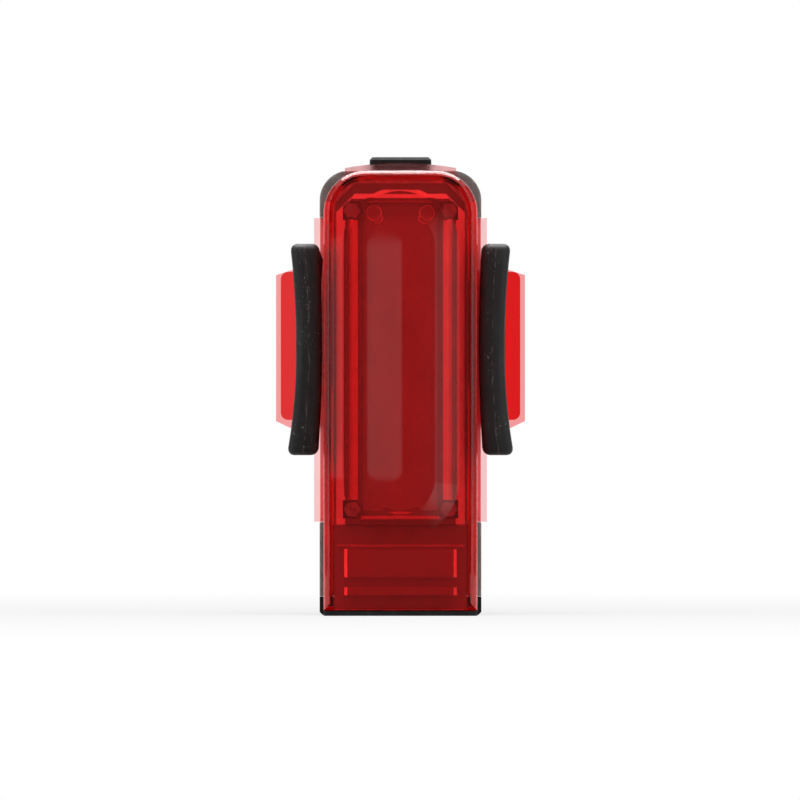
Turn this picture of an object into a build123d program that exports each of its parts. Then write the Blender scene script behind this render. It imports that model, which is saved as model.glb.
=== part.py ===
from build123d import *
from math import copysign
from math import sqrt
import os

# Bicycle tail light on a rubber strap. Millimetres, +Z up, the lens faces -Y and the seatpost is
# at +Y. While it is modelled, y runs from the front of the lens. Each piece is moved at the end,
# so that the origin is the middle of the light's outline on the surface that it stands on.

# Clearances, and how far a cut runs past the faces that it goes through
past = 1.0
seat_gap = 0.1
bar_gap = 0.3
cap_gap = 0.15
bond_gap = 0.03

# Case, as seen from in front
case_width = 26.2
case_height = 72.0
case_corner = 4.8
case_half = case_width / 2

# Depth layers behind the front of the lens
crown_rise = 1.2
lens_front_wall = 1.8
lens_depth = 9.6
board_thickness = 1.0
foam_thickness = 0.8
cell_thickness = 6.0
rear_foam_thickness = 1.2
housing_back_wall = 1.8
face_plane = crown_rise
inner_plane = face_plane + lens_front_wall
board_front = lens_depth - 1.6
board_back = board_front + board_thickness
cell_front = board_back + foam_thickness
cell_back = cell_front + cell_thickness
inner_back = cell_back + rear_foam_thickness
case_back = inner_back + housing_back_wall

# Lens cover
lens_width = case_width - 1.4
lens_half = lens_width / 2
lens_foot = 0.9
lens_top = case_height - 0.1
lens_corner = 6.8
lens_edge_radius = 1.2
lens_side_wall = 1.5
lens_inner_half = lens_half - lens_side_wall
crown_foot = lens_half - 3.0
crown_top = 5.5
crown_bulge = 0.35
crown_low = lens_foot + 21.0
crown_high = lens_top - 12.1
hollow_depth = crown_rise - 0.1
hollow_top = crown_top - 0.6
hollow_foot = crown_foot - 0.8
guard_width = 18.0
guard_height = 1.3
guard_thickness = 0.6
guard_radius = 51.0
gasket_thickness = 0.5
gasket_width = 0.8

# Side flanges and ears of the lens
flange_low = 15.1
flange_high = case_height - 7.7
flange_reach = case_half - 0.1
flange_thickness = 2.25
lip_reach = case_half + 0.9
lip_thickness = 0.5
ear_height = 25.7
ear_middle = (flange_low + flange_high) / 2 + 3.45
ear_low = ear_middle - ear_height / 2
ear_high = ear_middle + ear_height / 2
ear_reach = case_half + 7.1
ear_thickness = 4.6
ear_setback = 0.25
ear_rim = 0.8
ear_rim_thickness = 1.0
ear_corner = 1.2
ear_step = 1.3
ear_low_cut = (2.3, 1.1)
ear_high_cut = (2.8, 0.9)

# Rear housing
back_edge_radius = 2.0
cap_height = 2.9
housing_foot = cap_height + cap_gap
housing_wall = 1.5
foot_rim = 0.8
top_wall = 1.6
cavity_top = case_height - top_wall
recess_half = case_half - 2.1
recess_wall = 1.4
recess_corner = 1.2
cavity_half = recess_half - recess_wall
cavity_corner = 2.6
boss_reach = 1.8
pilot_radius = 0.8

# USB type A plug
plug_width = 12.0
plug_depth = 4.5
plug_wall = 0.3
plug_tip = 1.4
plug_length = 12.1
plug_root = 6.1
socket_top = plug_tip + plug_length
plug_end = socket_top + plug_root
plug_y = board_back + plug_depth / 2
plug_corner = 0.5
tongue_inset = 0.6
tongue_tip = plug_tip + 0.6
tongue_end = plug_end - 0.4
window_size = 2.0
window_spread = 2.9
window_height = 6.6
tongue_depth = 1.9
tongue_gap = 0.05
contact_width = 1.0
contact_height = 0.2
contact_low = plug_tip + 1.6
contact_high = socket_top + 2.0
contact_places = (-3.5, -1.0, 1.0, 3.5)

# End cap, its bung round the plug and the seal ring
cap_plate = 0.75
cap_edge = 0.5
cap_back_radius = 3.0
plug_clearance = 0.3
bung_wall = 1.25
bung_fit = 0.1
bung_top = socket_top - 0.3
ring_height = 1.2
ring_depth = 0.55
ring_place = 8.0
ring_fit = 0.03
socket_corner = 1.0
bung_corner = socket_corner - bung_fit

# USB carrier, the shelf and sleeve that hold the plug
sleeve_wall = 1.25
socket_half = plug_width / 2 + plug_clearance + bung_wall + bung_fit
socket_depth = plug_depth + 2 * (plug_clearance + bung_wall + bung_fit)
sleeve_half = socket_half + sleeve_wall
sleeve_foot = cap_height + 0.2
shelf_low = 11.2
shelf_high = socket_top + 1.1
skirt_front = inner_plane + 1.1
skirt_thickness = 1.0
skirt_low = cap_plate + cap_gap
box_front = inner_plane + 0.3
box_half = sleeve_half - 0.3
box_slope = 0.5
ledge_half = 10.3
ledge_low = 11.0
ledge_slope = 0.25
box_bands = ((3.3, 4.6), (6.2, 10.8))

# Reflector tray and diffuser
tray_front = inner_plane + 0.3
tray_back = board_front
tray_low = shelf_high + seat_gap
tray_high = cavity_top - 0.5
tray_half = lens_inner_half - 0.5
tray_cut = 3.0
tray_rim = 1.0
ridge_half = tray_half - 1.5
ridge_cut = 1.0
ridge_high = tray_high - 2.6
ridge_foot = ridge_high + 0.9
mouth_half = ridge_half - 0.6
mouth_low = tray_low + 1.0
mouth_high = ridge_high - 0.4
floor_half = mouth_half - 1.4
floor_low = mouth_low + 0.4
floor_high = mouth_high - 0.2
floor_y = board_front - 2.1
window_half = floor_half - 0.9
window_low = floor_low + 0.9
window_high = floor_high - 0.2
diffuser_border = 0.6
diffuser_thickness = 0.8
diffuser_ledge = 0.4
pin_radius = 1.3
pin_spread = 4.3
pin_height = window_high - pin_radius - seat_gap
pin_edge = 0.2

# Tray screws
screw_spread = floor_half + 0.9
screw_low = mouth_low + 1.5
screw_high = mouth_high - 1.5
screw_radius = 0.75
screw_length = 8.0
head_radius = 1.4
head_height = 1.0
drive_depth = 0.4
drive_half = 0.8
drive_width = 0.3

# Button and switch
button_width = 10.0
button_depth = 4.4
button_top = case_height + 2.2
button_corner = 1.2
button_edge = 0.45
button_y = lens_depth + 3.0
button_travel = 0.6
button_gap = 0.1
foot_reach = 0.8
foot_height = 0.6
foot_half = button_width / 2 + foot_reach
foot_top = cavity_top - button_gap
foot_bottom = foot_top - foot_height
collar_wall = 0.7
collar_height = 1.5
collar_gap = 0.3
plunger_size = 2.0
plunger_fit = 0.05
plunger_y = button_y - 0.6
plunger_top = foot_bottom - 1.4
switch_width = 6.0
switch_depth = plunger_y + 1.6 - board_back
switch_height = 3.6
switch_high = plunger_top - 1.7
switch_low = switch_high - switch_height
plunger_root = switch_high - 1.2

# Circuit board and what is on it
board_half = cavity_half - 0.4
board_low = shelf_high + 0.2
board_high = cavity_top - 1.6
board_cut = 1.6
led_count = 8
led_size = 3.2
led_height = 0.8
led_cup = 0.4
led_pitch = 5.6
led_first = (floor_low + floor_high - (led_count - 1) * led_pitch) / 2
chip_size = 4.0
driver_size = 3.0
chip_height = 0.9
chip_row = plug_end + 2.5
chip_spread = 5.5
inductor_size = 4.2
inductor_height = 2.0
inductor_corner = 0.9

# Battery
cell_width = 17.4
cell_length = 35.0
cell_high = switch_low - 1.0
cell_low = cell_high - cell_length
cell_edge = 2.2
foam_inset = 2.0
tab_width = 3.0
tab_thickness = 0.2
tab_spread = 2.6
tab_run = 0.6
tab_foot = cell_low - 2.6

# Seatpost, saddle pad and strap
post_radius = 13.6
pad_thinnest = 2.2
post_y = case_back + pad_thinnest + post_radius
strap_thickness = 3.4
strap_outer = post_radius + strap_thickness
band_height = 17.8
band_middle = ear_middle + 2.55
band_low = band_middle - band_height / 2
band_high = band_middle + band_height / 2
pad_half = 11.0
pad_height = 34.0
pad_low = band_middle - pad_height / 2
pad_high = band_middle + pad_height / 2
pad_edge = 0.8
lug_half = 2.0
lug_height = 3.0
lug_length = 1.1
lug_spacing = 20.0
lug_root = 0.5
loop_low = ear_low - 4.4
loop_high = ear_high + 4.1
loop_shoulder = 3.0
bar_inner = lens_half + bar_gap
bar_width = 4.15
bar_outer = bar_inner + bar_width
bar_depth = 4.0
bar_edge = 0.9
flare_inner = 0.4
flare_outer = 1.0
flare_corner = 1.3
bar_back = lens_depth - bar_gap
bar_front = bar_back - bar_depth
arm_inner = lip_reach + bar_gap
arm_thickness = 2.5
arm_outer = arm_inner + arm_thickness
window_gap = 0.35
window_corner = 1.6
arm_turn = lens_depth + ear_thickness + 0.6
band_start = arm_turn + 4.0
taper_start = arm_turn + 1.7
taper_end = arm_turn + 8.2
hinge_y = arm_turn + 15.2
hinge_gap = 0.3

total_depth = post_y + strap_outer


# Shapes that several pieces use


def block(left, right, front, back, bottom, top):
    place = Pos((left + right) / 2, (front + back) / 2, (bottom + top) / 2)
    return place * Box(right - left, back - front, top - bottom)


def slab(outline, front, back):
    return extrude(Plane.XZ.offset(-back) * outline, back - front)


def column(outline, bottom, top):
    return extrude(Plane.XY.offset(bottom) * outline, top - bottom)


def side_plate(outline, left, right):
    return extrude(Plane.YZ.offset(left) * outline, right - left)


def rod(radius, x, z, front, back):
    return slab(Pos(x, z) * Circle(radius), front, back)


def arch(width, bottom, top, radius):
    face = Pos(0, (bottom + top) / 2) * Rectangle(width, top - bottom)
    return fillet(face.vertices().sort_by(Axis.Y)[-2:], radius)


def plate(half, bottom, top):
    return Pos(0, (bottom + top) / 2) * Rectangle(2 * half, top - bottom)


def cut_plate(half, bottom, top, cut):
    return chamfer(plate(half, bottom, top).vertices(), cut)


def crest_plate(half, bottom, top, cut):
    return chamfer(plate(half, bottom, top).vertices().sort_by(Axis.Y)[-2:], cut)


def stadium(half):
    middle = (crown_low + crown_high) / 2
    return Pos(0, middle) * SlotCenterToCenter(crown_high - crown_low, 2 * half, rotation=90)


def slope(near, near_plane, far, far_plane):
    near_face = Plane.XZ.offset(-near_plane) * near
    far_face = Plane.XZ.offset(-far_plane) * far
    return loft([near_face, far_face], ruled=True)


def round_column(width, depth, y, radius, bottom, top):
    return column(Pos(0, y) * RectangleRounded(width, depth, radius), bottom, top)


def mirrored(piece):
    return mirror(piece, about=Plane.YZ)


def screw_places():
    return [(x, z) for x in (-screw_spread, screw_spread) for z in (screw_low, screw_high)]


# Lens cover: window, raised stadium, button guard, side flanges and ears in one moulding


def lens_crown():
    bulge_radius = (crown_top**2 + crown_bulge**2) / (2 * crown_bulge)
    ledge = crown_bulge
    sides = slope(stadium(crown_top), ledge, stadium(crown_foot), face_plane)
    top = slab(stadium(crown_top), 0, ledge)
    dome = Pos(0, bulge_radius, case_height / 2) * Cylinder(bulge_radius, 2 * case_height)
    return sides + (top & dome)


def lens_crown_hollow():
    near = inner_plane - hollow_depth
    return slope(stadium(hollow_top), near, stadium(hollow_foot), inner_plane)


def lens_ear():
    root = recess_half + seat_gap
    block_reach = ear_reach - ear_rim
    back = lens_depth + ear_thickness
    rim_front = back - ear_rim_thickness
    front = lens_depth + ear_setback
    core_low = ear_low + ear_step
    core_high = ear_high - ear_rim / 2
    core = block(root, block_reach, front, rim_front, core_low, core_high)
    tip = core.faces().sort_by(Axis.X)[-1]
    core = fillet(tip.edges().filter_by(Axis.Y), ear_corner)
    rim_outline = Polygon(
        (root, ear_low),
        (ear_reach - ear_low_cut[0], ear_low),
        (ear_reach, ear_low + ear_low_cut[1]),
        (ear_reach, ear_high - ear_high_cut[1]),
        (ear_reach - ear_high_cut[0], ear_high),
        (root, ear_high),
        align=None,
    )
    return core + slab(rim_outline, rim_front, back)


def lens_flange():
    root = recess_half + seat_gap
    back = lens_depth + flange_thickness
    middle = lens_depth + flange_thickness / 2
    wing = block(root, flange_reach, lens_depth, back, flange_low, flange_high)
    wing = fillet(wing.faces().sort_by(Axis.X)[0].edges().filter_by(Axis.Y), recess_corner)
    lip_front = middle - lip_thickness / 2
    lip_back = middle + lip_thickness / 2
    lip = block(flange_reach, lip_reach, lip_front, lip_back, flange_low, flange_high)
    return wing + lip


def guard_outline():
    top = lens_top + guard_height
    bow = Pos(0, top - guard_radius) * Circle(guard_radius)
    return plate(guard_width / 2, lens_top - guard_height, top) & bow


def lens_cover():
    shell = slab(arch(lens_width, lens_foot, lens_top, lens_corner), face_plane, lens_depth)
    shell = fillet(shell.faces().sort_by(Axis.Y)[0].edges(), lens_edge_radius)
    shell += slab(guard_outline(), lens_depth - guard_thickness, lens_depth)
    shell += lens_crown()
    inner = arch(
        2 * lens_inner_half,
        lens_foot - past,
        cavity_top,
        lens_corner - lens_side_wall,
    )
    shell -= slab(inner, inner_plane, lens_depth)
    shell -= lens_crown_hollow()
    side = lens_flange() + lens_ear()
    return shell + side + mirrored(side)


def lens_gasket():
    fit = seat_gap / 2
    half = lens_inner_half - fit
    top = cavity_top - fit
    radius = lens_corner - lens_side_wall - fit
    outer = arch(2 * half, shelf_high, top, radius)
    inner = arch(
        2 * (half - gasket_width),
        shelf_high - past,
        top - gasket_width,
        radius - gasket_width,
    )
    return slab(outer - inner, lens_depth - gasket_thickness, lens_depth)


# Rear housing with side recesses, socket, screw bosses and the button's opening


def housing_shell():
    outline = arch(case_width, housing_foot, case_height, case_corner)
    shell = slab(outline, lens_depth + bond_gap, case_back)
    back_edges = shell.faces().sort_by(Axis.Y)[-1].edges()
    round_edges = back_edges.filter_by(lambda edge: edge.center().Z > housing_foot + seat_gap)
    return fillet(round_edges, back_edge_radius)


def housing_recess():
    low = flange_low - seat_gap
    high = flange_high + seat_gap
    cut = block(recess_half, case_half + past, lens_depth - past, case_back + past, low, high)
    corners = cut.faces().sort_by(Axis.X)[0].edges().filter_by(Axis.Y)
    cut = fillet(corners, recess_corner)
    return cut + mirrored(cut)


def rear_housing():
    shell = housing_shell() - housing_recess()
    upper = arch(2 * cavity_half, shelf_high, cavity_top, cavity_corner)
    shell -= slab(upper, lens_depth, inner_back)
    foot_half = case_half - housing_wall
    rim_back = lens_depth + foot_rim
    shell -= block(-foot_half, foot_half, rim_back, inner_back, housing_foot, shelf_high)
    mouth = lens_inner_half
    shell -= block(-mouth, mouth, lens_depth, rim_back, housing_foot, shelf_high)
    hole_width = button_width + 2 * button_gap
    hole_depth = button_depth + 2 * button_gap
    hole_corner = button_corner + button_gap
    shell -= round_column(
        hole_width, hole_depth, button_y, hole_corner, cavity_top, case_height
    )
    for x, z in screw_places():
        boss = Pos(x, z) * RegularPolygon(boss_reach, 6, rotation=30)
        shell += slab(boss, board_back, inner_back)
        shell -= rod(pilot_radius, x, z, board_back, board_back + screw_length)
    for lug in lug_outlines(seat_gap):
        shell -= slab(lug, case_back - lug_length - seat_gap, case_back)
    return shell


# Inside: tray, diffuser, screws, board and what is on it


def reflector_tray():
    rim_front = tray_back - tray_rim
    near = crest_plate(ridge_half, tray_low, ridge_high, ridge_cut)
    far = crest_plate(tray_half, tray_low, ridge_foot, tray_cut)
    rim = crest_plate(tray_half, tray_low, tray_high, tray_cut)
    tray = slope(near, tray_front, far, rim_front) + slab(rim, rim_front, tray_back)
    mouth = plate(mouth_half, mouth_low, mouth_high)
    floor = plate(floor_half, floor_low, floor_high)
    tray -= slope(mouth, tray_front, floor, floor_y)
    tray -= slab(plate(window_half, window_low, window_high), floor_y, tray_back)
    tray -= slab(diffuser_outline(diffuser_border), floor_y + diffuser_ledge, tray_back)
    pocket_size = 2 * (head_radius + seat_gap)
    for x, z in screw_places():
        pocket = Pos(x, z) * Rectangle(pocket_size, pocket_size)
        tray -= slab(pocket, tray_front, floor_y)
        tray -= rod(pilot_radius, x, z, floor_y, tray_back)
    return tray


def diffuser_outline(border):
    return plate(window_half + border, window_low - border, window_high + border)


def diffuser_panel():
    front = floor_y + diffuser_ledge
    outline = diffuser_outline(diffuser_border - seat_gap)
    piece = slab(outline, front, front + diffuser_thickness)
    for x in (-pin_spread, pin_spread):
        pin = rod(pin_radius, x, pin_height, front - diffuser_ledge, front)
        piece += chamfer(pin.faces().sort_by(Axis.Y)[0].edges(), pin_edge)
        post = Pos(x, pin_height) * Rectangle(2 * pin_radius, 2 * pin_radius)
        piece += slab(post, front, board_front)
    return piece


def tray_screws():
    screws = []
    for x, z in screw_places():
        head_front = floor_y - head_height
        head = slab(Pos(x, z) * RegularPolygon(head_radius, 6), head_front, floor_y)
        shank = rod(screw_radius, x, z, floor_y, floor_y + screw_length)
        drive = Rectangle(drive_width, 2 * drive_half) + Rectangle(2 * drive_half, drive_width)
        drive = slab(Pos(x, z) * drive, head_front, head_front + drive_depth)
        screws.append(head + shank - drive)
    return Compound(children=screws)


def circuit_board():
    outline = cut_plate(board_half, board_low, board_high, board_cut)
    board = slab(outline, board_front, board_back)
    reach = pilot_radius + seat_gap
    for x, z in screw_places():
        notch = Pos(x, z) * Rectangle(2 * reach, 2 * reach)
        beside = Pos(x + copysign(reach, x), z) * Rectangle(2 * reach, 2 * reach)
        board -= slab(notch + beside, board_front, board_back)
    return board


def led_row():
    front = board_front - led_height
    cup_size = led_size - 2 * led_cup
    row = []
    for number in range(led_count):
        place = Pos(0, led_first + number * led_pitch)
        package = slab(place * Rectangle(led_size, led_size), front, board_front)
        cup = slab(place * Rectangle(cup_size, cup_size), front, front + led_height / 3)
        row.append(package - cup)
    return Compound(children=row)


def board_part(x, z, size, height):
    half = size / 2
    return block(x - half, x + half, board_back, board_back + height, z - half, z + half)


def control_chips():
    charger = board_part(-chip_spread, chip_row, chip_size, chip_height)
    driver = board_part(0, chip_row, driver_size, chip_height)
    return Compound(children=[charger, driver])


def power_inductor():
    coil_can = board_part(chip_spread, chip_row, inductor_size, inductor_height)
    return chamfer(coil_can.edges().filter_by(Axis.Y), inductor_corner)


def plug_shell():
    shell = round_column(plug_width, plug_depth, plug_y, plug_corner, plug_tip, plug_end)
    inner_width = plug_width - 2 * plug_wall
    inner_depth = plug_depth - 2 * plug_wall
    inner_corner = plug_corner - plug_wall / 2
    shell -= round_column(inner_width, inner_depth, plug_y, inner_corner, plug_tip, plug_end)
    for x in (-window_spread, window_spread):
        hole = Pos(x, window_height) * Rectangle(window_size, window_size)
        shell -= slab(hole, plug_y - plug_depth, plug_y + plug_depth)
    return shell


def contact_slots():
    back = tongue_front() + tongue_depth
    slots = []
    for x in contact_places:
        left = x - contact_width / 2
        right = x + contact_width / 2
        slots.append(block(left, right, back - contact_height, back, contact_low, contact_high))
    return slots


def tongue_front():
    return plug_y - plug_depth / 2 + plug_wall + tongue_gap


def plug_tongue():
    half = plug_width / 2 - plug_wall - tongue_inset
    front = tongue_front()
    root_back = plug_y + plug_depth / 2 - plug_wall - tongue_gap
    tongue = block(-half, half, front, front + tongue_depth, tongue_tip, socket_top)
    tongue += block(-half, half, front, root_back, socket_top, tongue_end)
    for slot in contact_slots():
        tongue -= slot
    return tongue


def plug_contacts():
    return Compound(children=contact_slots())


def carrier_front():
    half = lens_inner_half - 2 * seat_gap
    skirt_back = skirt_front + skirt_thickness
    sleeve_front = plug_y - socket_depth / 2 - sleeve_wall
    piece = block(-half, half, skirt_front, lens_depth + foot_rim, shelf_low, shelf_high)
    piece += block(-half, half, skirt_front, skirt_back, skirt_low, shelf_low)
    piece += block(-sleeve_half, sleeve_half, skirt_back, sleeve_front, sleeve_foot, shelf_low)
    for low, high in box_bands:
        near = plate(box_half, low, high)
        far = plate(box_half + box_slope, low, high)
        piece += slope(near, box_front, far, skirt_front)
    ledge_near = plate(ledge_half, ledge_low, ledge_low + ledge_slope / 2)
    ledge_far = plate(ledge_half, ledge_low, ledge_low + 2 * ledge_slope)
    return piece + slope(ledge_near, skirt_front - ledge_slope, ledge_far, skirt_front)


def usb_carrier():
    rear_half = case_half - housing_wall - seat_gap
    back = inner_back - seat_gap
    body = carrier_front()
    rim_back = lens_depth + foot_rim
    body += block(-rear_half, rear_half, rim_back, back, shelf_low, shelf_high)
    sleeve_front = plug_y - socket_depth / 2 - sleeve_wall
    sleeve_back = plug_y + socket_depth / 2 + sleeve_wall
    body += block(
        -sleeve_half, sleeve_half, sleeve_front, sleeve_back, sleeve_foot, shelf_low
    )
    body -= round_column(
        2 * socket_half, socket_depth, plug_y, socket_corner, sleeve_foot, socket_top
    )
    slot_width = plug_width + seat_gap
    slot_depth = plug_depth + seat_gap
    return body - round_column(
        slot_width, slot_depth, plug_y, plug_corner, socket_top, shelf_high
    )


def battery_cell():
    half = cell_width / 2
    cell = block(-half, half, cell_front, cell_back, cell_low, cell_high)
    return fillet(cell.edges().filter_by(Axis.Z), cell_edge)


def foam_outline():
    half = cell_width / 2 - foam_inset
    return plate(half, cell_low + foam_inset, cell_high - foam_inset)


def battery_foam():
    return slab(foam_outline(), board_back, cell_front)


def rear_foam():
    return slab(foam_outline(), cell_back, inner_back)


def battery_tabs():
    middle = (cell_front + cell_back) / 2
    board_side = board_back + tab_thickness / 2
    path = Polyline(
        (board_side, tab_foot),
        (board_side, cell_low - tab_run),
        (middle, cell_low - tab_run),
        (middle, cell_low),
    )
    strip = trace(path, tab_thickness)
    half = tab_width / 2
    return Compound(
        children=[side_plate(strip, x - half, x + half) for x in (-tab_spread, tab_spread)]
    )


# Button, its collar and the switch below it


def power_button():
    key = round_column(
        button_width, button_depth, button_y, button_corner, foot_top, button_top
    )
    key = chamfer(key.faces().sort_by(Axis.Z)[-1].edges(), button_edge)
    front = button_y - button_depth / 2
    back = button_y + button_depth / 2
    key += block(-foot_half, foot_half, front, back, foot_bottom, foot_top)
    return key + plunger_column(plunger_top, foot_bottom, 0)


def button_collar():
    half = foot_half + collar_gap
    depth = button_depth + 2 * collar_gap
    bottom = cavity_top - collar_height
    outline = Rectangle(2 * (half + collar_wall), depth + collar_wall)
    outline -= Rectangle(2 * half, depth)
    return column(Pos(0, button_y) * outline, bottom, cavity_top)


def plunger_column(bottom, top, fit):
    size = plunger_size + 2 * fit
    return column(Pos(0, plunger_y) * Rectangle(size, size), bottom, top)


def switch_body():
    half = switch_width / 2
    body = block(-half, half, board_back, board_back + switch_depth, switch_low, switch_high)
    well_bottom = plunger_root - button_travel - button_gap
    return body - plunger_column(well_bottom, switch_high, plunger_fit)


def switch_plunger():
    return plunger_column(plunger_root, plunger_top, 0)


# End cap that pulls off the plug, and its seal


def bung(inset, bottom, top):
    half = socket_half - bung_fit - inset
    depth = socket_depth - 2 * bung_fit - 2 * inset
    return round_column(2 * half, depth, plug_y, bung_corner, bottom, top)


def cap_foot():
    front = lens_depth + cap_gap
    rear = block(-case_half, case_half, front, case_back, 0, cap_height)
    back_corners = rear.edges().filter_by(Axis.Z).sort_by(Axis.Y)[-2:]
    rear = fillet(back_corners, cap_back_radius)
    under = rear.faces().sort_by(Axis.Z)[0].edges()
    round_edges = under.filter_by(lambda edge: edge.center().Y > front + seat_gap)
    rear = chamfer(round_edges, cap_edge)
    inner_half = lens_inner_half - 2 * seat_gap
    inner_front = skirt_front + skirt_thickness + cap_gap
    middle = block(-inner_half, inner_half, inner_front, front, 0, cap_height)
    lip = block(-lens_half, lens_half, face_plane + seat_gap, front, 0, cap_plate)
    front_corners = lip.edges().filter_by(Axis.Z).sort_by(Axis.Y)[:2]
    return rear + middle + fillet(front_corners, lens_edge_radius)


def cap_pocket():
    width = plug_width + 2 * plug_clearance
    depth = plug_depth + 2 * plug_clearance
    corner = plug_corner + seat_gap
    return round_column(width, depth, plug_y, corner, plug_tip - plug_clearance, bung_top)


def ring_space(inset, reach):
    low = ring_place - ring_height / 2
    high = ring_place + ring_height / 2
    return bung(inset, low, high) - bung(reach, low, high)


def end_cap():
    body = cap_foot() + bung(0, cap_height, bung_top)
    groove = ring_space(-past, ring_depth)
    return body - groove - cap_pocket()


def cap_seal_ring():
    return ring_space(ring_fit - bung_fit, ring_depth)


# Saddle pad and strap


def lug_outlines(gap):
    middles = (band_middle - lug_spacing / 2, band_middle + lug_spacing / 2)
    reach = lug_height / 2 + gap
    return [plate(lug_half + gap, z - reach, z + reach) for z in middles]


def saddle_pad():
    horn_y = post_y - sqrt(post_radius**2 - pad_half**2)
    outline = Pos(0, (case_back + horn_y) / 2) * Rectangle(2 * pad_half, horn_y - case_back)
    pad = column(outline, pad_low, pad_high)
    sides = pad.faces().filter_by(Axis.X).edges().filter_by(Axis.Y)
    pad = chamfer(sides, pad_edge)
    pad -= column(Pos(0, post_y) * Circle(post_radius), pad_low, pad_high)
    for lug in lug_outlines(0):
        pad += slab(lug, case_back - lug_length, case_back + lug_root)
    return pad


def strap_side_view(back):
    outline = Polygon(
        (bar_front, loop_low),
        (taper_start, loop_low),
        (taper_end, band_low),
        (back, band_low),
        (back, band_high),
        (taper_end, band_high),
        (taper_start, loop_high),
        (bar_front, loop_high),
        align=None,
    )
    bends = outline.vertices().filter_by(lambda point: bar_back < point.X < back - past)
    outline = fillet(bends, loop_shoulder)
    low = ear_low - window_gap
    high = ear_high + window_gap
    middle = Pos((bar_back + arm_turn) / 2, (low + high) / 2)
    return outline - middle * RectangleRounded(arm_turn - bar_back, high - low, window_corner)


def loop_bar():
    middle = (loop_low + loop_high) / 2
    inner_end = bar_inner + flare_inner
    outer_end = bar_outer + flare_outer
    inner = ThreePointArc((inner_end, loop_low), (bar_inner, middle), (inner_end, loop_high))
    outer = ThreePointArc((outer_end, loop_high), (bar_outer, middle), (outer_end, loop_low))
    high = Line((inner_end, loop_high), (outer_end, loop_high))
    low = Line((outer_end, loop_low), (inner_end, loop_low))
    outline = make_face([inner, high, outer, low])
    bar = slab(fillet(outline.vertices(), flare_corner), bar_front, bar_back)
    return chamfer(bar.faces().sort_by(Axis.Y)[0].edges(), bar_edge)


def strap_arm(back):
    front = bar_front + bar_depth / 2
    plan = Polygon(
        (arm_inner, front),
        (arm_outer, front),
        (arm_outer, arm_turn),
        (strap_outer, band_start),
        (strap_outer, back),
        (post_radius, back),
        (post_radius, band_start),
        (arm_inner, arm_turn),
        align=None,
    )
    widest = max(strap_outer, arm_outer) + past
    side = side_plate(strap_side_view(back), bar_inner, widest)
    return (side & column(plan, loop_low, loop_high)) + loop_bar()


def strap_fixed_end():
    ring = Pos(0, post_y) * (Circle(strap_outer) - Circle(post_radius))
    rear_half = Pos(0, post_y + strap_outer / 2) * Rectangle(2 * strap_outer, strap_outer)
    bend = column(ring & rear_half, band_low, band_high)
    stub_front = hinge_y + strap_thickness / 2 + hinge_gap
    stub = block(post_radius, strap_outer, stub_front, post_y, band_low, band_high)
    return mirrored(strap_arm(post_y)) + bend + stub


def strap_free_end():
    middle = post_radius + strap_thickness / 2
    knuckle = column(Pos(middle, hinge_y) * Circle(strap_thickness / 2), band_low, band_high)
    return strap_arm(hinge_y) + knuckle


nodes = {
    "lens_cover": lens_cover,
    "lens_gasket": lens_gasket,
    "rear_housing": rear_housing,
    "reflector_tray": reflector_tray,
    "diffuser_panel": diffuser_panel,
    "tray_screws": tray_screws,
    "circuit_board": circuit_board,
    "led_row": led_row,
    "control_chips": control_chips,
    "power_inductor": power_inductor,
    "plug_shell": plug_shell,
    "plug_tongue": plug_tongue,
    "plug_contacts": plug_contacts,
    "usb_carrier": usb_carrier,
    "battery_cell": battery_cell,
    "battery_foam": battery_foam,
    "rear_foam": rear_foam,
    "battery_tabs": battery_tabs,
    "power_button": power_button,
    "button_collar": button_collar,
    "switch_body": switch_body,
    "switch_plunger": switch_plunger,
    "end_cap": end_cap,
    "cap_seal_ring": cap_seal_ring,
    "saddle_pad": saddle_pad,
    "strap_fixed_end": strap_fixed_end,
    "strap_free_end": strap_free_end,
}

os.makedirs("parts", exist_ok=True)
to_origin = Pos(0, -total_depth / 2, 0)
for name, make in nodes.items():
    export_step(to_origin * make(), f"parts/{name}.step")
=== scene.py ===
from math import cos, pi, radians, sin, tan

import bmesh
import bpy
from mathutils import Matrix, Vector


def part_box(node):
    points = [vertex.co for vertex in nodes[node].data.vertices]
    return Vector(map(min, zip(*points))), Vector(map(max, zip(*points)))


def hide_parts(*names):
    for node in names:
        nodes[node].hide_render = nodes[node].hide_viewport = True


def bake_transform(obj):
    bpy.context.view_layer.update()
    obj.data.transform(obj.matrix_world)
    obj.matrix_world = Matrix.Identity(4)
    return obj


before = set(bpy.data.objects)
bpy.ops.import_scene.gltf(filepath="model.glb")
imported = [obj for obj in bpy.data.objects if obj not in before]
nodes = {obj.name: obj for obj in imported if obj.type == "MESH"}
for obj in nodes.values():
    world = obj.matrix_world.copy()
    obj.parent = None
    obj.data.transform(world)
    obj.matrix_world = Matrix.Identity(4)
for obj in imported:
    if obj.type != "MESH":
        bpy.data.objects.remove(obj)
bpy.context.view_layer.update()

MM = 0.001

# The strap's loops, in metres as every length is; the window is in cells of the strap's grid
bar_outer_width = 4.15 * MM
bar_depth = 4.0 * MM
bar_flare_inner = 0.4 * MM
bar_flare_outer = 1.0 * MM
foot_flare = 1.5
limb_low = 4.05 * MM
limb_high = 3.75 * MM
window_rows = 9
window_start = 2
window_end = 4

# The strap's arms and band: each taper pairs a share of the way to the post's middle with
# the share of the change from a loop's height to the band's
arm_inset = 1.6 * MM
arm_thickness = 2.5 * MM
arm_turn = 14.8 * MM
arm_jog = 4.0 * MM
strap_thickness = 3.4 * MM
band_height = 17.8 * MM
band_tapers = ((0.09, 0.02), (0.2, 0.25), (0.31, 0.72), (0.4, 0.98), (0.6, 1.0), (0.8, 1.0))
band_steps = 24
strap_rounding = 1.15 * MM

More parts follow.
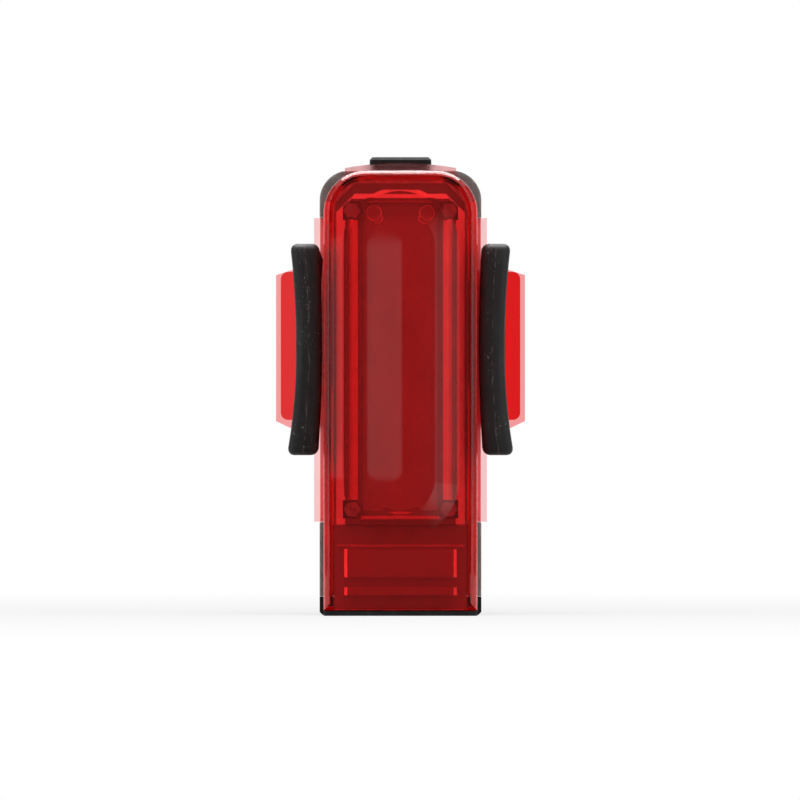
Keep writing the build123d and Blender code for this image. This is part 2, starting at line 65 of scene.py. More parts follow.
# The line on the strap where its mould closed
seam_width = 0.13 * MM
seam_height = 0.05 * MM
seam_wander = 0.12 * MM
seam_tone = 0.11

# Rubber: sizes of its streaks, partly wear and partly painted sheen, its gloss patches and grain, and
# the dust on the strap
streak_size = 1.5 * MM
rubber_gloss_size = 1.1 * MM
rubber_grain = 0.12 * MM
dust_size = 0.28 * MM
dust_group_size = 3.2 * MM
dust_amount = 0.35
dust_tone = 0.45

# The lens: its outline on the housing, its flanges and inner walls, and its plastic
lens_half = 12.4 * MM
lens_corner = 6.8 * MM
lens_top = 71.9 * MM
flange_back = -13.95 * MM
flange_reach = 13.0 * MM
lens_inner_half = 10.9 * MM
lens_ior = 1.585
lens_polish = 0.015
lens_frost = 0.9
lens_tint = (0.94, 0.02, 0.035, 1.0)
lens_absorption = 1080.0

# Brightness of the faces of tray and USB carrier and of the diffuser's pegs: painted light and shade on
# tray and carrier, painted highlight on the pegs' edges
slope_painted_light = 0.9
outer_painted_light = 0.6
flat_painted_shade = 0.2
carrier_outer_painted_light = 1.0
mouth_painted_shade = 0.5
flange_painted_shade = 0.6
tray_front_painted_shade = 0.75
carrier_front_painted_light = 1.3
peg_edge_painted_highlight = 0.75

# Where those faces begin and end
tray_flange = -18.8 * MM
upper_slope = 7.6 * MM
mouth_half = 8.2 * MM
front_plane = -22.2 * MM

# Moulded plastic: sizes of its clouds, gloss patches and spark grain, and the grain's depth
cloud_size = 6 * MM
gloss_size = 1.4 * MM
spark_grain = 0.18 * MM
spark_depth = 0.012 * MM

# The housing's plastic, and the painted light on its joint face under the lens
housing_dark = (0.15, 0.152, 0.143, 1.0)
housing_light = (0.19, 0.194, 0.182, 1.0)
housing_glow = 2.2 * MM
joint_painted_light = 0.85
joint_plane = -16.17 * MM

# How the board's pattern of tracks is drawn together, along each axis
track_scale = (700.0, 1.0, 420.0)

# How soft the edge of a zone of a material is
edge = 0.05 * MM

# The photograph's view: a long lens, level, straight in front
field = 129.6 * MM
camera_distance = 2.0
sensor_width = 36.0
aim_height = 34.83 * MM
aim_side = -0.08 * MM
focus_plane = -16.2 * MM

# Floor and world
world_level = 0.15
floor_radius = 4.0
floor_corners = 96
floor_tone = 0.8
shadow_near = 0.05
shadow_far = 0.22
shadow_lift = 0.72

# Dark cards that the object's gloss shows; the front one's sides and top are in degrees
card_distance = 0.45
front_card_left = 32.0
front_card_right = 30.0
cards_top = 45.0
floor_card_height = 0.3 * MM
side_card_front = -0.28
side_card_back = 0.35
dark_level = 0.08
edge_level = 0.75
side_level = 0.3

# Card whose reflection stands on the left of the raised lens; its sides are in degrees
left_card_distance = 0.4
left_card_left = 14.8
left_card_right = 1.0
left_card_level = 0.5
left_card_rounding = 3.2 * MM
left_card_fade = 1.5 * MM
left_card_corners = 24
shown_low = 21.5 * MM
shown_high = 62.0 * MM

# Card above whose reflection is the pale line on the top edges
top_card_rise = 0.5
top_card_half = 0.35
top_card_front = -0.2
top_card_back = 0.4
top_card_level = 10.0

# Softboxes: name, degrees round from the front, degrees up, width, height and radiance
lamp_distance = 1.1
lamps = (
    ("left_lamp", -70.0, 5.0, 1.0, 1.2, 3.0),
    ("right_lamp", 70.0, 5.0, 1.0, 1.2, 3.0),
    ("top_lamp", 0.0, 75.0, 0.7, 0.9, 4.0),
)


# Node trees


class Shader:
    """A material's node tree, with short ways to add and join nodes."""

    def __init__(self, name, tree=None):
        if tree is None:
            self.material = bpy.data.materials.new(name)
            self.material.use_nodes = True
            tree = self.material.node_tree
        self.tree = tree
        self.tree.nodes.clear()
        self.place = self.add("TexCoord").outputs["Object"]

    def add(self, kind, inputs=None, **settings):
        """Adds a node; an input is joined to a socket or set to a plain value."""
        node = self.tree.nodes.new("ShaderNode" + kind)
        for name, value in settings.items():
            setattr(node, name, value)
        for name, value in (inputs or {}).items():
            if isinstance(value, bpy.types.NodeSocket):
                self.tree.links.new(value, node.inputs[name])
            else:
                node.inputs[name].default_value = value
        return node

    def axes(self):
        """X, Y and Z of the point on the object."""
        return self.add("SeparateXYZ", {"Vector": self.place}).outputs

    def facing(self):
        """X, Y and Z of the way that the surface faces."""
        normal = self.add("NewGeometry").outputs["Normal"]
        return self.add("SeparateXYZ", {"Vector": normal}).outputs

    def noise(self, size, detail=2.0, stretch=(1, 1, 1), roughness=0.5):
        """Noise whose features are about size metres across."""
        place = self.add("Mapping", {"Vector": self.place, "Scale": stretch})
        return self.add(
            "TexNoise",
            {
                "Vector": place.outputs[0],
                "Scale": 1 / size,
                "Detail": detail,
                "Roughness": roughness,
            },
        ).outputs["Fac"]

    def spread(self, value, low, high, out_low, out_high):
        """Maps low to high onto out_low to out_high, and holds at the ends."""
        return self.add(
            "MapRange",
            {
                "Value": value,
                "From Min": low,
                "From Max": high,
                "To Min": out_low,
                "To Max": out_high,
            },
        ).outputs["Result"]

    def rise(self, value, low, high):
        """0 up to low, and 1 from high on."""
        return self.spread(value, low, high, 0.0, 1.0)

    def fall(self, value, low, high):
        """1 up to low, and 0 from high on."""
        return self.spread(value, low, high, 1.0, 0.0)

    def maths(self, operation, first, second=0.0):
        return self.add("Math", {0: first, 1: second}, operation=operation).outputs[0]

    def times(self, first, second):
        return self.maths("MULTIPLY", first, second)

    def minus(self, first, second):
        return self.maths("SUBTRACT", first, second)

    def size(self, value):
        """The value without its sign."""
        return self.maths("ABSOLUTE", value)

    def blend(self, factor, first, second):
        """Colour first at factor 0, second at 1."""
        # A Mix node has its factor in socket 0, its colours in 6 and 7, and the mixed colour in output 2
        mix = self.add("Mix", {0: factor, 6: first, 7: second}, data_type="RGBA")
        return mix.outputs[2]

    def bump(self, height, depth, strength=1.0, normal=None):
        inputs = {"Height": height, "Distance": depth, "Strength": strength}
        if normal is not None:
            inputs["Normal"] = normal
        return self.add("Bump", inputs).outputs["Normal"]

    def finish(self, surface, volume=None):
        output = self.add("OutputMaterial", {"Surface": surface})
        if volume is not None:
            self.tree.links.new(volume, output.inputs["Volume"])
        return self.material

    def skin(self, inputs):
        """The finished material, with one principled shader as its surface."""
        return self.finish(self.add("BsdfPrincipled", inputs).outputs[0])


def grey(value):
    return (value, value, value, 1.0)


def scaled(tint, share):
    """The colour made darker or lighter."""
    return tuple(min(1.0, share * part) for part in tint[:3]) + (1.0,)


# Materials


def clear_red():
    """Clear red polycarbonate that lets the lamps through to what is behind it.

    The guard above the lens, the backs of the flanges and the inner side walls are frosted.
    """
    s = Shader("clear_red")
    place = s.axes()
    facing = s.facing()
    side = s.size(place["X"])
    on_guard = s.rise(place["Z"], lens_top, lens_top + 2 * edge)
    frost = s.times(s.noise(0.08 * MM, 1.0), on_guard)
    flow = s.noise(9 * MM, 1.0, (1, 1, 0.35))
    normal = s.bump(flow, 0.02 * MM, 0.3, s.bump(frost, 0.06 * MM))
    rearward = s.rise(s.size(facing["Y"]), 0.7, 0.9)
    behind = s.rise(place["Y"], flange_back - 2 * edge, flange_back - edge)
    on_flange = s.fall(side, flange_reach, flange_reach + edge)
    flange_frost = s.times(on_flange, s.times(rearward, behind))
    sideways = s.rise(s.size(facing["X"]), 0.7, 0.9)
    on_wall = s.fall(s.size(s.minus(side, lens_inner_half)), 3 * edge, 5 * edge)
    frosted = s.maths("MAXIMUM", flange_frost, s.times(sideways, on_wall))
    glass = s.add(
        "BsdfPrincipled",
        {
            "Base Color": grey(1.0),
            "Roughness": s.spread(frosted, 0.0, 1.0, lens_polish, lens_frost),
            "IOR": lens_ior,
            "Transmission Weight": 1.0,
            "Normal": normal,
        },
    )
    through = s.add("BsdfTransparent")
    shadow = s.add("LightPath").outputs["Is Shadow Ray"]
    mixed = s.add("MixShader", {0: shadow, 1: glass.outputs[0], 2: through.outputs[0]})
    depth_tint = s.add("VolumeAbsorption", {"Color": lens_tint, "Density": lens_absorption})
    return s.finish(mixed.outputs[0], depth_tint.outputs[0])


def moulded_plastic(name, tint, roughness, relief=spark_depth):
    """Moulded plastic with a fine spark grain, faint clouding and slightly uneven gloss."""
    s = Shader(name)
    clouds = s.noise(cloud_size, 3.0)
    grain = s.noise(spark_grain, 2.0)
    gloss = s.noise(gloss_size, 3.0)
    return s.skin(
        {
            "Base Color": s.blend(s.rise(clouds, 0.35, 0.65), scaled(tint, 0.86), tint),
            "Roughness": s.spread(gloss, 0.3, 0.7, roughness - 0.05, roughness + 0.05),
            "Normal": s.bump(grain, relief, 0.6),
        }
    )


def tray_plastic(name, outward_painted_light, front_painted_shading):
    """Moulded tray whose colour carries painted light and shade: slopes painted light, flats painted
    dark, and the slopes glossier than the matt flats.
    """
    s = Shader(name)
    place = s.axes()
    facing = s.facing()
    # Colour set by the way a face faces is painted light and shade: slopes painted light, flats painted
    # dark
    flat = s.fall(facing["Y"], -0.9, -0.6)
    outward = s.times(facing["X"], place["X"])
    side = s.size(place["X"])
    # Inner faces past the upper slope are painted darker: painted shade
    inner_painted_light = s.spread(side, upper_slope, mouth_half, slope_painted_light, mouth_painted_shade * slope_painted_light)
    slope = s.spread(outward, -1 * MM, 1 * MM, inner_painted_light, outward_painted_light)
    tone = s.maths("ADD", slope, s.times(flat, s.minus(flat_painted_shade, slope)))
    clouds = s.spread(s.noise(5 * MM, 3.0), 0.35, 0.65, 0.9, 1.0)
    # Painted shade on the flange deep in the lens; the frontmost faces are painted lighter on the
    # carrier and darker on the tray
    on_flange = s.spread(place["Y"], tray_flange - 2 * edge, tray_flange, 1.0, flange_painted_shade)
    at_front = s.spread(place["Y"], front_plane - 2 * edge, front_plane, front_painted_shading, 1.0)
    for share in (clouds, on_flange, at_front):
        tone = s.times(tone, share)
    grain = s.noise(0.15 * MM, 2.0)
    return s.skin(
        {
            "Base Color": s.add("CombineXYZ", {0: tone, 1: tone, 2: tone}).outputs[0],
            "Roughness": s.spread(flat, 0.0, 1.0, 0.25, 0.45),
            "Normal": s.bump(grain, 0.006 * MM, 0.5),
        }
    )


def smoke_housing():
    """Satin smoke grey moulding whose joint face under the lens is painted pale: painted light for the
    glow that the lens wall carries down to it.
    """
    s = Shader("smoke_housing")
    place = s.axes()
    clouds = s.noise(cloud_size, 3.0)
    plain = s.blend(s.rise(clouds, 0.35, 0.65), housing_dark, housing_light)
    corner_x = lens_half - lens_corner
    corner_z = lens_top - lens_corner
    out_x = s.maths("MAXIMUM", s.minus(s.size(place["X"]), corner_x), 0.0)
    out_z = s.maths("MAXIMUM", s.minus(place["Z"], corner_z), 0.0)
    squares = s.maths("ADD", s.maths("POWER", out_x, 2.0), s.maths("POWER", out_z, 2.0))
    # The joint face under the lens wall is painted pale: painted light in place of the light that the
    # lens wall pipes down to it
    under_lens = s.fall(s.maths("SQRT", squares), lens_corner - 3 * edge, lens_corner + 2 * edge)
    on_joint = s.fall(place["Y"], joint_plane + 0.02 * MM, joint_plane + 0.06 * MM)
    grain = s.noise(spark_grain, 2.0)
    return s.skin(
        {
            "Base Color": s.blend(s.times(under_lens, on_joint), plain, grey(joint_painted_light)),
            "Roughness": s.spread(s.noise(gloss_size, 3.0), 0.3, 0.7, 0.32, 0.42),
            "Subsurface Weight": 0.9,
            "Subsurface Radius": (1.0, 1.0, 1.0),
            "Subsurface Scale": housing_glow,
            "Normal": s.bump(grain, spark_depth, 0.6),
        }
    )


def metal(name, tint, roughness, stretch=(1, 1, 1)):
    """Plated or rolled metal with fine drawn lines and dull patches."""
    s = Shader(name)
    lines = s.noise(0.25 * MM, 3.0, stretch)
    patches = s.noise(2.2 * MM, 2.0)
    return s.skin(
        {
            "Base Color": s.blend(s.rise(patches, 0.4, 0.7), tint, scaled(tint, 0.8)),
            "Metallic": 1.0,
            "Roughness": s.spread(lines, 0.3, 0.7, roughness - 0.08, roughness + 0.1),
            "Normal": s.bump(lines, 0.004 * MM, 0.5),
        }
    )


def mould_seam(s):
    """1 on the line where the mould's halves met, along the middle of each loop's bar."""
    place = s.axes()
    low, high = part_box("strap_free_end")
    half = (high.z - low.z) / 2
    share = s.maths("DIVIDE", s.minus(place["Z"], low.z + half), half)
    flare_mean = (bar_flare_inner + bar_flare_outer) / 2
    at_foot = s.spread(share, -0.01, 0.01, foot_flare * flare_mean, flare_mean)
    bend = s.times(s.maths("POWER", share, 2.0), at_foot)
    middle = low.x + bar_outer_width / 2
    wander = s.spread(s.noise(2 * MM, 2.0), 0.3, 0.7, middle - seam_wander, middle + seam_wander)
    line = s.maths("ADD", bend, wander)
    away = s.size(s.minus(s.size(place["X"]), line))
    ridge = s.fall(away, 0.3 * seam_width, seam_width)
    bar_back = low.y + bar_depth
    on_bar = s.fall(place["Y"], bar_back, bar_back + 0.5 * MM)
    patches = s.spread(s.noise(1.7 * MM, 2.0), 0.42, 0.62, 0.0, 0.7)
    return s.times(s.times(ridge, on_bar), patches)


def dust_specks(s, amount):
    """Small pale specks, in loose groups."""
    dust = s.noise(dust_size, 1.0)
    where = s.noise(dust_group_size, 1.0, (1, 1, 0.6))
    return s.times(s.rise(dust, 0.70, 0.74), s.spread(where, 0.48, 0.62, 0.0, amount))


def rubber(name, tint, roughness, specks=0.0, seam=False, ior=1.35):
    """Matte moulded rubber: fine matt grain, paler streaks that are partly wear and partly painted
    sheen, and a few pale dust specks.
    """
    s = Shader(name)
    streaks = s.noise(streak_size, 4.0, (1, 1, 0.22), 0.6)
    # Paler vertical streaks: partly wear, partly painted sheen
    base = s.blend(s.spread(streaks, 0.5, 0.8, 0.0, 0.8), tint, scaled(tint, 2.1))
    if specks:
        base = s.blend(dust_specks(s, specks), base, grey(dust_tone))
    grain = s.noise(rubber_grain, 2.0)
    gloss = s.noise(rubber_gloss_size, 3.0)
    rough_skin = s.bump(grain, 0.01 * MM, 0.6)
    if seam:
        line = mould_seam(s)
        rough_skin = s.bump(line, seam_height, 1.0, rough_skin)
        base = s.blend(s.times(line, 0.6), base, grey(seam_tone))
    return s.skin(
        {
            "Base Color": base,
            "Roughness": s.spread(gloss, 0.35, 0.7, roughness - 0.06, roughness + 0.08),
            "IOR": ior,
            "Normal": s.bump(streaks, 0.03 * MM, 0.4, rough_skin),
        }
    )


def frosted_panel():
    """Milky panel: soft scattering with a fine frost, and a painted highlight on its pegs' edges and the
    other faces that don't face the front.
    """
    s = Shader("frosted_panel")
    frost = s.noise(0.1 * MM, 1.0)
    clouds = s.noise(5 * MM, 2.0, (1, 1, 0.5))
    milky = s.blend(s.rise(clouds, 0.3, 0.7), grey(0.27), grey(0.31))
    # Faces that don't face the front, such as the pegs' edges, are painted pale: painted highlight
    on_edge = s.rise(s.facing()["Y"], -0.95, -0.85)
    return s.skin(
        {
            "Base Color": s.blend(on_edge, milky, grey(peg_edge_painted_highlight)),
            "Roughness": 0.35,
            "Subsurface Weight": 0.15,
            "Subsurface Scale": 0.6 * MM,
            "Normal": s.bump(frost, 0.006 * MM, 0.4),
        }
    )


def solder_mask():
    """Green circuit board: copper tracks show as slightly raised, paler lines."""
    s = Shader("solder_mask")
    place = s.add("Mapping", {"Vector": s.place, "Scale": track_scale})
    tracks = s.add("TexBrick", {"Vector": place.outputs[0], "Scale": 1.0, "Mortar Size": 0.06})
    raised = s.rise(tracks.outputs["Fac"], 0.2, 0.8)
    return s.skin(
        {
            "Base Color": s.blend(raised, (0.012, 0.075, 0.03, 1.0), (0.03, 0.14, 0.06, 1.0)),
            "Roughness": 0.32,
            "Normal": s.bump(raised, 0.02 * MM, 0.6),
        }
    )


def led_package():
    """White packages whose sunken cup is filled with pale yellow phosphor."""
    s = Shader("led_package")
    grain = s.noise(0.08 * MM, 2.0)
    cup_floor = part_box("led_row")[0].y + 0.2 * MM
    forward = s.fall(s.facing()["Y"], -0.9, -0.6)
    sunken = s.rise(s.axes()["Y"], cup_floor, cup_floor + 0.04 * MM)
    return s.skin(
        {
            "Base Color": s.blend(s.times(forward, sunken), grey(0.8), (0.85, 0.62, 0.16, 1.0)),
            "Roughness": 0.4,
            "Normal": s.bump(grain, 0.004 * MM, 0.5),
        }
    )


def foil():
    """Crinkled silver pouch foil."""
    s = Shader("pouch_foil")
    crinkle = s.noise(2.4 * MM, 5.0, (1, 1, 0.5), 0.6)
    return s.skin(
        {
            "Base Color": s.blend(s.rise(crinkle, 0.3, 0.7), grey(0.55), grey(0.78)),
            "Metallic": 1.0,
            "Roughness": s.spread(crinkle, 0.3, 0.7, 0.28, 0.45),
            "Normal": s.bump(crinkle, 0.15 * MM, 0.6),
        }
    )


def foam():
    """Closed cell foam: small round pits, painted darker inside as painted shade."""
    s = Shader("cell_foam")
    pits = s.add("TexVoronoi", {"Vector": s.place, "Scale": 1 / (0.35 * MM)})
    # The pits are painted darker than their rims: painted shade
    depth = s.rise(pits.outputs["Distance"], 0.1, 0.6)
    return s.skin(
        {
            "Base Color": s.blend(depth, grey(0.03), grey(0.11)),
            "Roughness": 0.85,
            "Normal": s.bump(depth, 0.08 * MM, 0.8),
        }
    )


def give(material, *names):
    for name in names:
        for slot in nodes[name].material_slots:
            slot.material = material


give(clear_red(), "lens_cover")
give(smoke_housing(), "rear_housing")
give(tray_plastic("tray_plastic", outer_painted_light, tray_front_painted_shade), "reflector_tray")
give(tray_plastic("carrier_plastic", carrier_outer_painted_light, carrier_front_painted_light), "usb_carrier")
give(frosted_panel(), "diffuser_panel")
give(metal("dark_steel", grey(0.35), 0.35), "tray_screws")
give(solder_mask(), "circuit_board")
give(led_package(), "led_row")
give(moulded_plastic("chip_resin", grey(0.018), 0.5, relief=0.004 * MM), "control_chips", "switch_body")
give(moulded_plastic("ferrite", grey(0.09), 0.55), "power_inductor")
give(metal("plated_steel", grey(0.74), 0.22, (1, 1, 0.1)), "plug_shell")
give(moulded_plastic("white_insulator", grey(0.8), 0.4), "plug_tongue", "switch_plunger")
give(metal("gold_plate", (0.85, 0.62, 0.25, 1.0), 0.25), "plug_contacts")
give(foil(), "battery_cell")
give(foam(), "battery_foam", "rear_foam")
give(metal("nickel", (0.66, 0.63, 0.58, 1.0), 0.3), "battery_tabs")
give(rubber("grey_silicone", grey(0.34), 0.5), "lens_gasket", "cap_seal_ring")
give(rubber("pale_silicone", grey(0.6), 0.5), "button_collar")
give(rubber("pad_rubber", grey(0.028), 0.55), "saddle_pad")
give(rubber("cap_rubber", grey(0.01), 0.55, ior=1.28), "end_cap")
give(rubber("button_rubber", grey(0.009), 0.55, ior=1.22), "power_button")


# The strap: one rubber moulding with a loop at each end, from the CAD's two nodes


def side_stations(post_radius, post_y):
    """(inner point, outer point, taper, on the bar) in plan, from the right bar to the post."""
    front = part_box("strap_free_end")[0].y
    bar_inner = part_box("strap_free_end")[0].x
    bar_outer = bar_inner + bar_outer_width
    arm_inner = bar_inner + arm_inset
    arm_outer = arm_inner + arm_thickness
    band_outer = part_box("strap_fixed_end")[1].x
    back = front + bar_depth
    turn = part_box("lens_cover")[0].y + arm_turn
    stations = []
    for share in (0.0, 0.5, 1.0):
        y = front + share * bar_depth
        stations.append(((bar_inner, y), (bar_outer, y), 0.0, True))
    for share in (0.5, 1.0):
        y = back + share * (turn - back)
        stations.append(((arm_inner, y), (arm_outer, y), 0.0, False))
    for share, taper in band_tapers:
        y = turn + share * (post_y - turn)
        jog = min(1.0, (y - turn) / arm_jog)
        inner = arm_inner + jog * (post_radius - arm_inner)
        outer = arm_outer + jog * (band_outer - arm_outer)
        stations.append(((inner, y), (outer, y), taper, False))
    return stations


def strap_stations():
    """All stations, from the right bar round the post to the left one."""
    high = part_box("strap_fixed_end")[1]
    post_radius = high.x - strap_thickness
    post_y = high.y - post_radius - strap_thickness
    right = side_stations(post_radius, post_y)
    stations = list(right)
    for step in range(band_steps + 1):
        angle = pi * step / band_steps
        inner, outer = [
            (radius * cos(angle), post_y + radius * sin(angle)) for radius in (post_radius, high.x)
        ]
        stations.append((inner, outer, 1.0, False))
    for inner, outer, taper, bar in reversed(right):
        stations.append(((-inner[0], inner[1]), (-outer[0], outer[1]), taper, bar))
    return stations


def strap_rows():
    """Heights of the grid's rows on a loop and on the band."""
    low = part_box("strap_free_end")[0].z
    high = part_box("strap_free_end")[1].z
    pad_low, pad_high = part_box("saddle_pad")
    middle = (pad_low.z + pad_high.z) / 2
    foot = low + limb_low
    span = high - limb_high - foot
    loop = [low, foot]
    loop += [foot + span * (row + 1) / window_rows for row in range(window_rows)]
    loop.append(high)
    count = len(loop) - 1
    band = [middle + band_height * (row / count - 0.5) for row in range(count + 1)]
    return loop, band


def flare(z, low, high):
    """0 half way up a loop, 1 at its top and foot_flare at its foot."""
    share = (2 * z - low - high) / (high - low)
    return share**2 * (foot_flare if share < 0 else 1.0)


def strap_points(bm, stations, loop, band):
    """The grid's vertices by station, row and side, which is 0 inside and 1 outside."""
    grid = {}
    for i, (inner, outer, taper, bar) in enumerate(stations):
        side = 1 if inner[0] > 0 else -1
        for j, height in enumerate(loop):
            z = height + taper * (band[j] - height)
            bend = flare(z, loop[0], loop[-1]) if bar else 0.0
            inner_x = inner[0] + side * bar_flare_inner * bend
            outer_x = outer[0] + side * bar_flare_outer * bend
            grid[i, j, 0] = bm.verts.new((inner_x, inner[1], z))
            grid[i, j, 1] = bm.verts.new((outer_x, outer[1], z))
    return grid


def has_rubber(i, j, columns, rows):
    """Whether the grid's cell has rubber: it isn't past the ends or in a loop's window."""
    if not (0 <= i < columns and 0 <= j < rows):
        return False
    from_bar = min(i, columns - 1 - i)
    in_window = window_start <= from_bar < window_end and 1 <= j < rows - 1
    return not in_window


def strap_faces(bm, grid, columns, rows):
    """Both skins of each cell with rubber, and a wall where the next cell has none."""
    for i in range(columns):
        for j in range(rows):
            if not has_rubber(i, j, columns, rows):
                continue
            corners = [(i, j), (i + 1, j), (i + 1, j + 1), (i, j + 1)]
            bm.faces.new([grid[a, b, 0] for a, b in corners])
            bm.faces.new([grid[a, b, 1] for a, b in reversed(corners)])
            for next_i, next_j, edge_start, edge_end in (
                (i - 1, j, (i, j + 1), (i, j)),
                (i + 1, j, (i + 1, j), (i + 1, j + 1)),
                (i, j - 1, (i, j), (i + 1, j)),
                (i, j + 1, (i + 1, j + 1), (i, j + 1)),
            ):
                if not has_rubber(next_i, next_j, columns, rows):
                    around = ((*edge_end, 0), (*edge_start, 0), (*edge_start, 1), (*edge_end, 1))
                    bm.faces.new([grid[key] for key in around])


def strap_mesh():
    """The strap's sharp-edged shape, before its edges are rounded."""
    stations = strap_stations()
    loop, band = strap_rows()
    bm = bmesh.new()
    grid = strap_points(bm, stations, loop, band)
    strap_faces(bm, grid, len(stations) - 1, len(loop) - 1)
    loose = [vertex for vertex in bm.verts if not vertex.link_faces]
    bmesh.ops.delete(bm, geom=loose, context="VERTS")
    bmesh.ops.recalc_face_normals(bm, faces=bm.faces)
    mesh = bpy.data.meshes.new("rubber_strap")
    bm.to_mesh(mesh)
    bm.free()
    return mesh


def round_edges(obj):
    """Rounds the edges in the mesh itself, so that no modifier is left."""
    bevel = obj.modifiers.new("rounding", "BEVEL")
    bevel.width = strap_rounding
    bevel.segments = 4
    bevel.limit_method = "ANGLE"
    bevel.angle_limit = radians(40)
    bevel.use_clamp_overlap = False
    depsgraph = bpy.context.evaluated_depsgraph_get()
    mesh = bpy.data.meshes.new_from_object(obj.evaluated_get(depsgraph))
    obj.modifiers.clear()
    obj.data = mesh
    for polygon in mesh.polygons:
        polygon.use_smooth = True


def make_strap(material):
    strap = bpy.data.objects.new("rubber_strap", strap_mesh())
    bpy.context.scene.collection.objects.link(strap)
    round_edges(strap)
    strap.data.materials.append(material)
    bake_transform(strap)
    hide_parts("strap_fixed_end", "strap_free_end")


make_strap(rubber("strap_rubber", grey(0.012), 0.5, specks=dust_amount, seam=True))


# Floor, world, lamps, cards and camera


def seen_ray(s):
    """1 for what the camera sees, also in gloss or through glass."""
    path = s.add("LightPath")
    seen = s.maths("MAXIMUM", path.outputs["Is Camera Ray"], path.outputs["Is Glossy Ray"])
    return s.maths("MAXIMUM", seen, path.outputs["Is Transmission Ray"])


def world_light():
    """White where it is seen, and a weak even light on the object."""
    world = bpy.data.worlds.new("studio")
    bpy.context.scene.world = world
    world.use_nodes = True
    s = Shader("", world.node_tree)
    light = s.add("Background", {"Color": grey(1.0), "Strength": world_level})
    white = s.add("Background", {"Color": grey(1.0), "Strength": 1.0})
    mixed = s.add("MixShader", {0: seen_ray(s), 1: light.outputs[0], 2: white.outputs[0]})
    s.add("OutputWorld", {"Surface": mixed.outputs[0]})


def floor_material():
    """Pale floor that keeps a light shadow and looks white from the camera."""
    s = Shader("pale_floor")
    matt = s.add("BsdfDiffuse", {"Color": grey(floor_tone)})
    glow = s.add("Emission", {"Color": grey(1.0), "Strength": 1.0})
    reach = s.add("VectorMath", {0: s.place}, operation="LENGTH").outputs["Value"]
    lift = s.spread(reach, shadow_near, shadow_far, shadow_lift, 1.0)
    lifted = s.add("MixShader", {0: lift, 1: matt.outputs[0], 2: glow.outputs[0]})
    mixed = s.add("MixShader", {0: seen_ray(s), 1: matt.outputs[0], 2: lifted.outputs[0]})
    return s.finish(mixed.outputs[0])


def sheet(name, corners, material):
    """A flat stage piece through the corners."""
    mesh = bpy.data.meshes.new(name)
    mesh.from_pydata(corners, [], [list(range(len(corners)))])
    mesh.materials.append(material)
    obj = bpy.data.objects.new(name, mesh)
    bpy.context.scene.collection.objects.link(obj)
    return obj


def floor():
    angles = [2 * pi * i / floor_corners for i in range(floor_corners)]
    ring = [(floor_radius * cos(angle), floor_radius * sin(angle), 0) for angle in angles]
    sheet("floor", ring, floor_material())


def card(name, corners, level, fades=()):
    """A studio card that shows only in the gloss of the object.

    Each fade is an axis, a start, an end and the level that the card has from the end on.
    """
    s = Shader(name)
    place = s.axes()
    strength = level
    for axis, start, end, end_level in fades:
        share = s.rise(place[axis], start, end)
        kept = s.times(s.minus(1.0, share), strength)
        strength = s.maths("ADD", kept, s.times(share, end_level))
    glow = s.add("Emission", {"Color": grey(1.0), "Strength": strength})
    obj = sheet(name, corners, s.finish(glow.outputs[0]))
    obj.visible_camera = False
    obj.visible_diffuse = False
    obj.visible_transmission = False
    obj.visible_volume_scatter = False
    obj.visible_shadow = False


def dark_cards():
    """Dark cards in front, on the floor and at the sides, so that the lens shows its inside."""
    y = focus_plane - card_distance
    left = -card_distance * tan(radians(front_card_left))
    right = card_distance * tan(radians(front_card_right))
    top = card_distance * tan(radians(cards_top))
    upright = [(left, y, 0.0), (right, y, 0.0), (right, y, top), (left, y, top)]
    card("front_card", upright, dark_level, [("X", 0.6 * right, right, edge_level)])
    outline = [(left, y), (right, y), (lens_half, focus_plane), (-lens_half, focus_plane)]
    fade = [("X", lens_half, 3 * lens_half, edge_level)]
    card("floor_card", [(x, depth, floor_card_height) for x, depth in outline], dark_level, fade)
    for x in (-card_distance, card_distance):
        bottom_line = [(x, side_card_front, 0.0), (x, side_card_back, 0.0)]
        top_line = [(x, side_card_back, top), (x, side_card_front, top)]
        card("side_card", bottom_line + top_line, side_level)


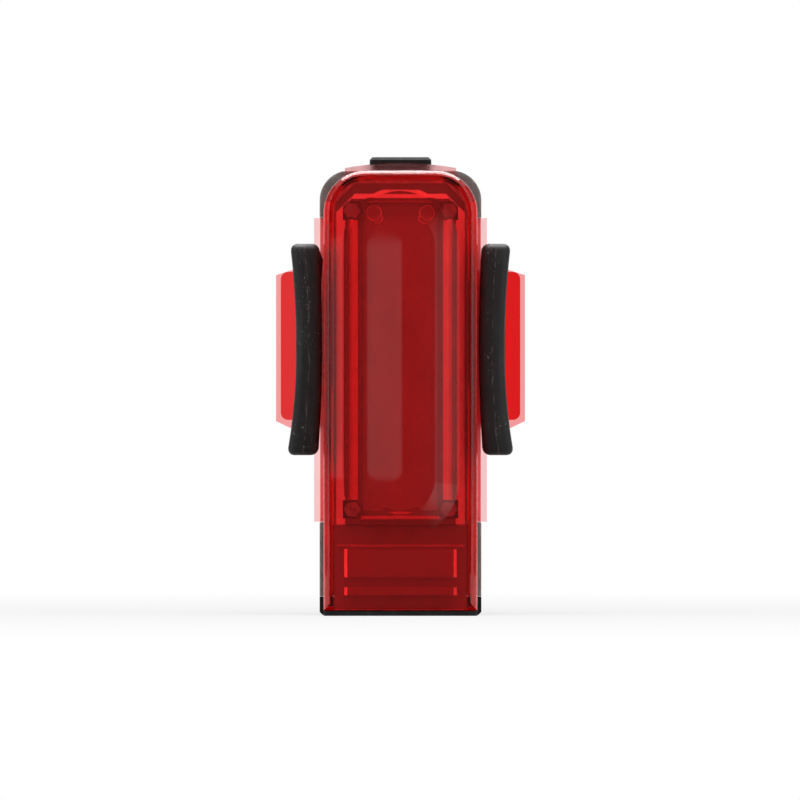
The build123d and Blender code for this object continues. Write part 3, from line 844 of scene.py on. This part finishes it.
def left_card():
    """Soft card whose rounded reflection stands on the left of the raised lens."""
    y = focus_plane - left_card_distance
    left = -left_card_distance * tan(radians(left_card_left))
    right = left_card_distance * tan(radians(left_card_right))
    reach = left_card_distance / camera_distance
    low = shown_low + reach * (shown_low - aim_height)
    high = shown_high + reach * (shown_high - aim_height)
    corners = []
    for i in range(left_card_corners):
        angle = 2 * pi * i / left_card_corners
        x = (right + left) / 2 + (right - left) / 2 * cos(angle)
        rise = left_card_rounding * sin(angle)
        end = high - left_card_rounding if rise > 0 else low + left_card_rounding
        corners.append((x, y, end + rise))
    fades = (
        ("Z", high - 2 * left_card_fade, high, dark_level),
        ("Z", low + left_card_fade, low, dark_level),
        ("X", left + 5 * left_card_fade, left, 0.5 * left_card_level),
        ("X", right - 4 * left_card_fade, right, dark_level),
    )
    card("left_card", corners, left_card_level, fades)


def top_card():
    """Bright card above, whose reflection is the pale line on the top edges."""
    height = aim_height + top_card_rise
    front_line = [(-top_card_half, top_card_front, height), (top_card_half, top_card_front, height)]
    back_line = [(top_card_half, top_card_back, height), (-top_card_half, top_card_back, height)]
    card("top_card", front_line + back_line, top_card_level)


def lamp(name, azimuth, elevation, width, height, radiance):
    """Softbox that faces the object; neither the camera nor gloss shows it."""
    data = bpy.data.lights.new(name, "AREA")
    data.shape = "RECTANGLE"
    data.size = width
    data.size_y = height
    data.energy = radiance * pi * width * height
    obj = bpy.data.objects.new(name, data)
    bpy.context.scene.collection.objects.link(obj)
    a = radians(azimuth)
    e = radians(elevation)
    away = Vector((sin(a) * cos(e), -cos(a) * cos(e), sin(e)))
    obj.location = Vector((0.0, focus_plane, aim_height)) + lamp_distance * away
    obj.rotation_euler = away.to_track_quat("Z", "Y").to_euler()
    obj.visible_camera = False
    obj.visible_glossy = False


def camera():
    data = bpy.data.cameras.new("camera")
    data.sensor_width = sensor_width
    data.lens = sensor_width * camera_distance / field
    data.clip_end = 20.0
    obj = bpy.data.objects.new("camera", data)
    bpy.context.scene.collection.objects.link(obj)
    obj.location = (aim_side, focus_plane - camera_distance, aim_height)
    obj.rotation_euler = (pi / 2, 0.0, 0.0)
    bpy.context.scene.camera = obj


world_light()
floor()
dark_cards()
left_card()
top_card()
for settings in lamps:
    lamp(*settings)
camera()
bpy.context.scene.view_settings.view_transform = "Standard"
